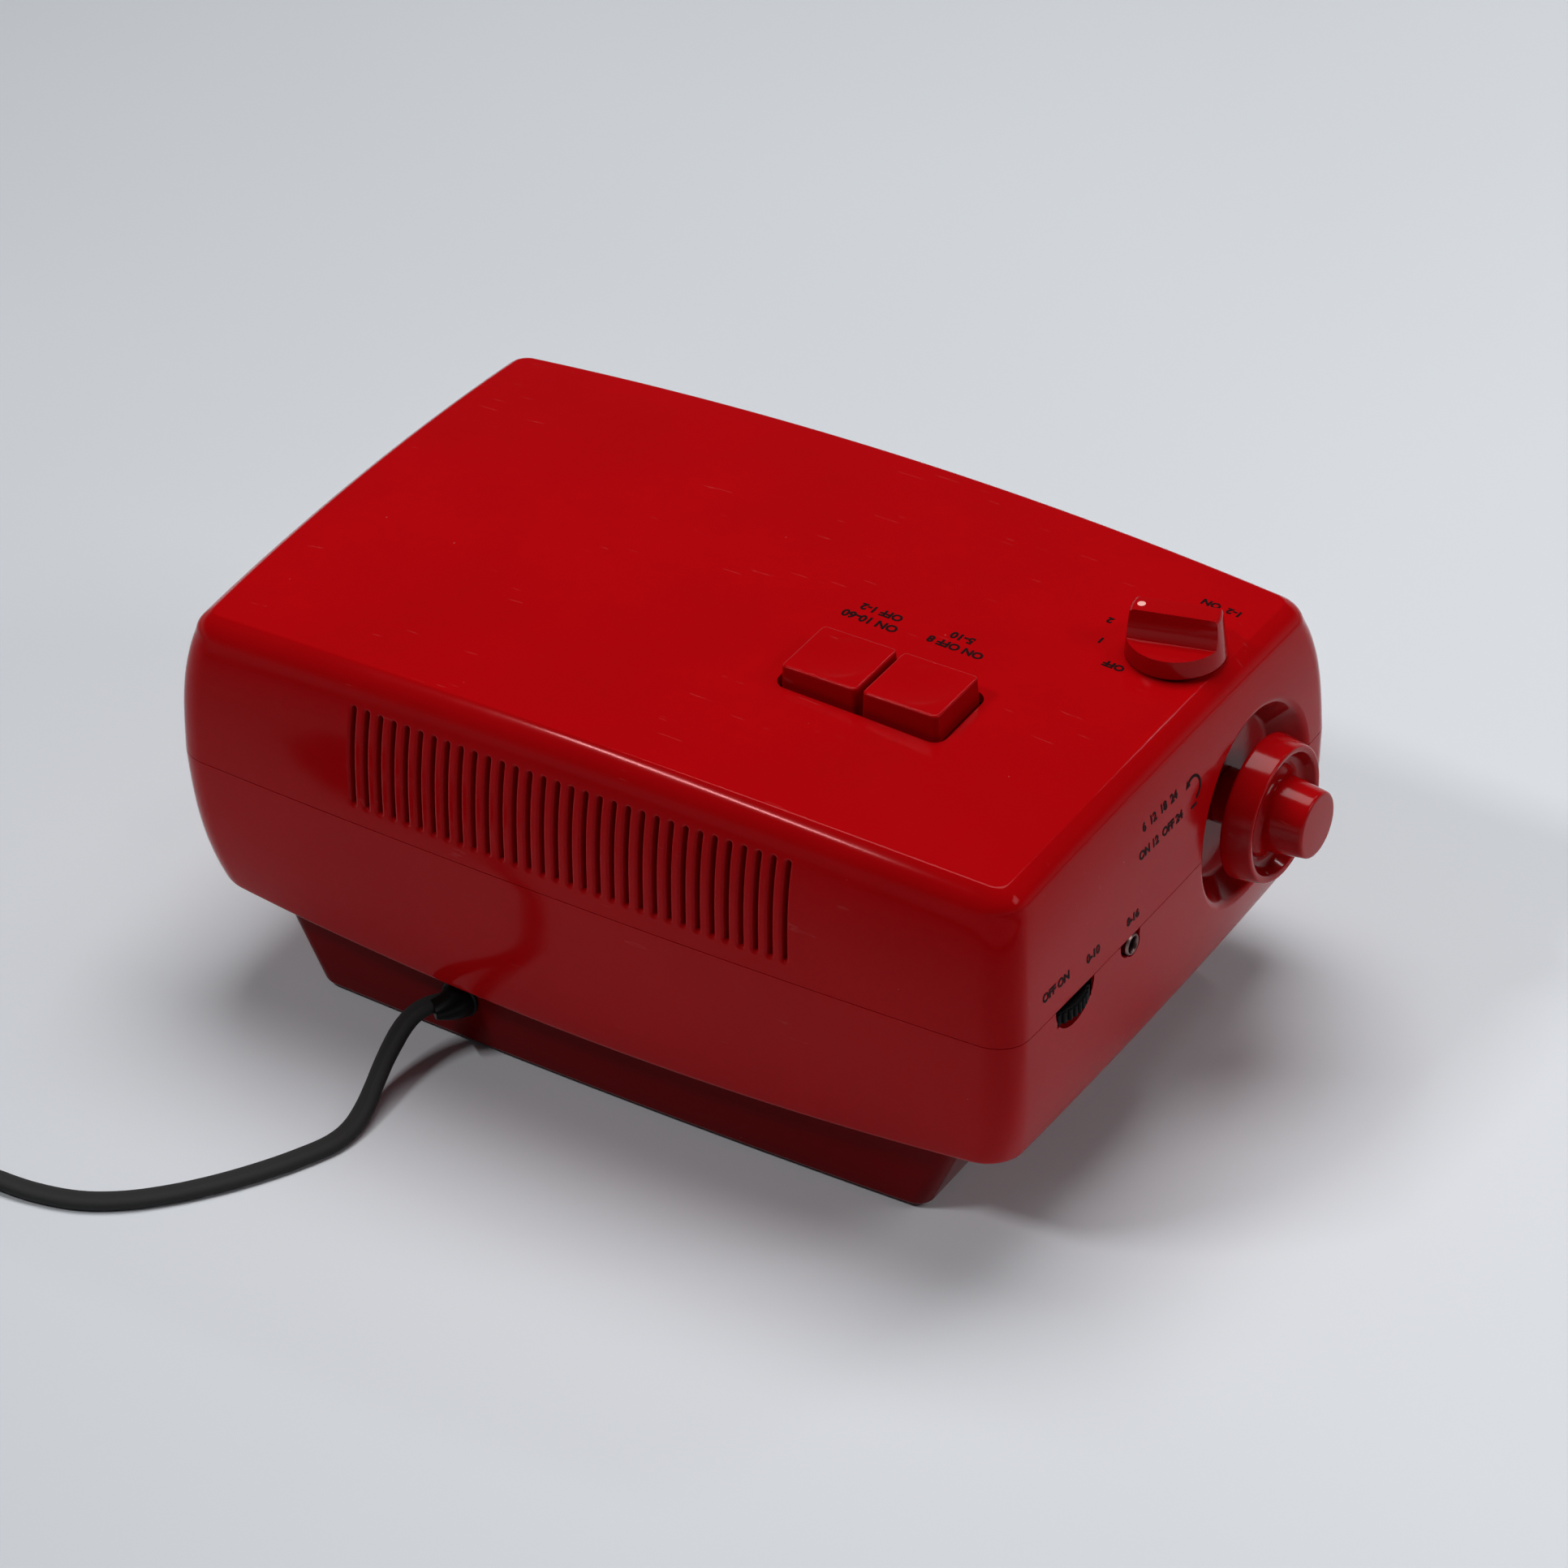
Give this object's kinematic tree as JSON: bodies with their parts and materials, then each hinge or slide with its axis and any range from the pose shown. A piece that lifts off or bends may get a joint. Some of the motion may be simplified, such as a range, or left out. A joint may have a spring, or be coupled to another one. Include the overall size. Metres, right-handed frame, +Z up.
{
  "type": "flip clock radio",
  "caption": "Flip clock radio in a glossy barrel-sided case on an inset pedestal, with knobs in round end wells, dished top keys, rear vent slots and a flat mains cord.",
  "frame": {"origin": "the middle of the footprint at the level of the feet, the free cord left out", "axes": "+Z up, -Y towards the front with the clock window, +X to the right seen from the front"},
  "size_m": [0.3334, 0.3524, 0.1197],
  "materials": {
    "red_plastic": "gloss",
    "black_plastic": "satin",
    "clear_plastic": "clear",
    "leaf_plastic": "matt",
    "nylon": "matt",
    "steel": "zinc-plated",
    "brass": "bright",
    "copper_wire": "enamelled",
    "paper": "matt",
    "ferrite": "matt",
    "board": "phenolic paper",
    "rubber": "matt",
    "cord_sheath": "glossy vinyl"
  },
  "bodies": {
    "case": {"upper_shell": "red_plastic", "lower_shell": "red_plastic", "pedestal": "red_plastic", "foot_front_left": "rubber", "foot_rear_left": "rubber", "foot_front_right": "rubber", "foot_rear_right": "rubber", "strain_relief": "rubber", "front_bezel": "black_plastic", "clock_window": "clear_plastic", "dial_window": "clear_plastic", "speaker_grille": "black_plastic", "speaker_basket": "steel", "speaker_cone": "paper", "mode_switch": "black_plastic", "key_switch_block": "black_plastic", "volume_control": "steel", "earphone_jack": "black_plastic", "jack_ring": "steel", "clock_frame": "steel", "hour_leaf_upper": "leaf_plastic", "hour_leaf_lower": "leaf_plastic", "minute_leaf_upper": "leaf_plastic", "minute_leaf_lower": "leaf_plastic", "clock_motor": "steel", "tuner_frame": "steel", "capacitor_stator": "steel", "circuit_board": "board", "aerial_rod": "ferrite", "transformer_core": "steel", "transformer_winding": "copper_wire", "case_screw_front_left": "steel", "case_screw_rear_left": "steel", "case_screw_front_right": "steel", "case_screw_rear_right": "steel", "power_cord": "cord_sheath", "cord_coil": "cord_sheath", "cord_tail": "cord_sheath", "plug_body": "cord_sheath", "plug_blade_left": "brass", "plug_blade_right": "brass"},
    "key_left": {"key_left": "red_plastic"},
    "key_right": {"key_right": "red_plastic"},
    "mode_selector": {"mode_knob": "red_plastic", "mode_shaft": "nylon"},
    "minutes": {"time_set_knob": "red_plastic", "clock_shaft": "brass", "minute_drum": "leaf_plastic"},
    "carry": {"carry_arbor": "nylon"},
    "hours": {"hour_drum": "leaf_plastic"},
    "motor": {"motor_pinion": "brass"},
    "alarm": {"alarm_set_knob": "red_plastic", "alarm_sleeve": "brass", "alarm_drum": "nylon"},
    "tuning": {"tuning_knob": "red_plastic", "tuning_shaft": "steel", "dial_drum": "nylon", "capacitor_rotor": "steel"},
    "volume": {"volume_wheel": "black_plastic"}
  },
  "joints": [
    {"name": "key_left_press", "type": "slide", "parent": "case", "child": "key_left", "axis": [0, 0, -1], "range_m": [0, 0.0035], "stiffness_N_per_m": 250},
    {"name": "key_right_press", "type": "slide", "parent": "case", "child": "key_right", "axis": [0, 0, -1], "range_m": [0, 0.0035], "stiffness_N_per_m": 250},
    {"name": "mode_select", "type": "hinge", "parent": "case", "child": "mode_selector", "pos_m": [-0.1009, -0.0304, 0.1], "axis": [0, 0, 1], "range_deg": [-90, 50]},
    {"name": "time_set", "type": "hinge", "parent": "case", "child": "minutes", "pos_m": [0, -0.0368, 0.0654], "axis": [1, 0, 0], "continuous": true},
    {"name": "carry_turn", "type": "hinge", "parent": "case", "child": "carry", "pos_m": [0, -0.0128, 0.0654], "axis": [1, 0, 0], "continuous": true},
    {"name": "hours_turn", "type": "hinge", "parent": "case", "child": "hours", "pos_m": [0, -0.0368, 0.0654], "axis": [1, 0, 0], "continuous": true},
    {"name": "motor_turn", "type": "hinge", "parent": "case", "child": "motor", "pos_m": [0, -0.0272, 0.04877], "axis": [1, 0, 0], "continuous": true},
    {"name": "alarm_set", "type": "hinge", "parent": "case", "child": "alarm", "pos_m": [0, -0.0368, 0.0654], "axis": [1, 0, 0], "continuous": true},
    {"name": "tuning_turn", "type": "hinge", "parent": "case", "child": "tuning", "pos_m": [0, -0.0368, 0.0654], "axis": [1, 0, 0], "range_deg": [-90, 90]},
    {"name": "volume_turn", "type": "hinge", "parent": "case", "child": "volume", "pos_m": [-0.1072, 0.049, 0.063], "axis": [0, 0, 1], "range_deg": [0, 270]}
  ],
  "couplings": [
    {"joint": "carry_turn", "follows": "time_set", "ratio": -0.33333},
    {"joint": "hours_turn", "follows": "time_set", "ratio": 0.083333},
    {"joint": "motor_turn", "follows": "time_set", "ratio": -3}
  ]
}
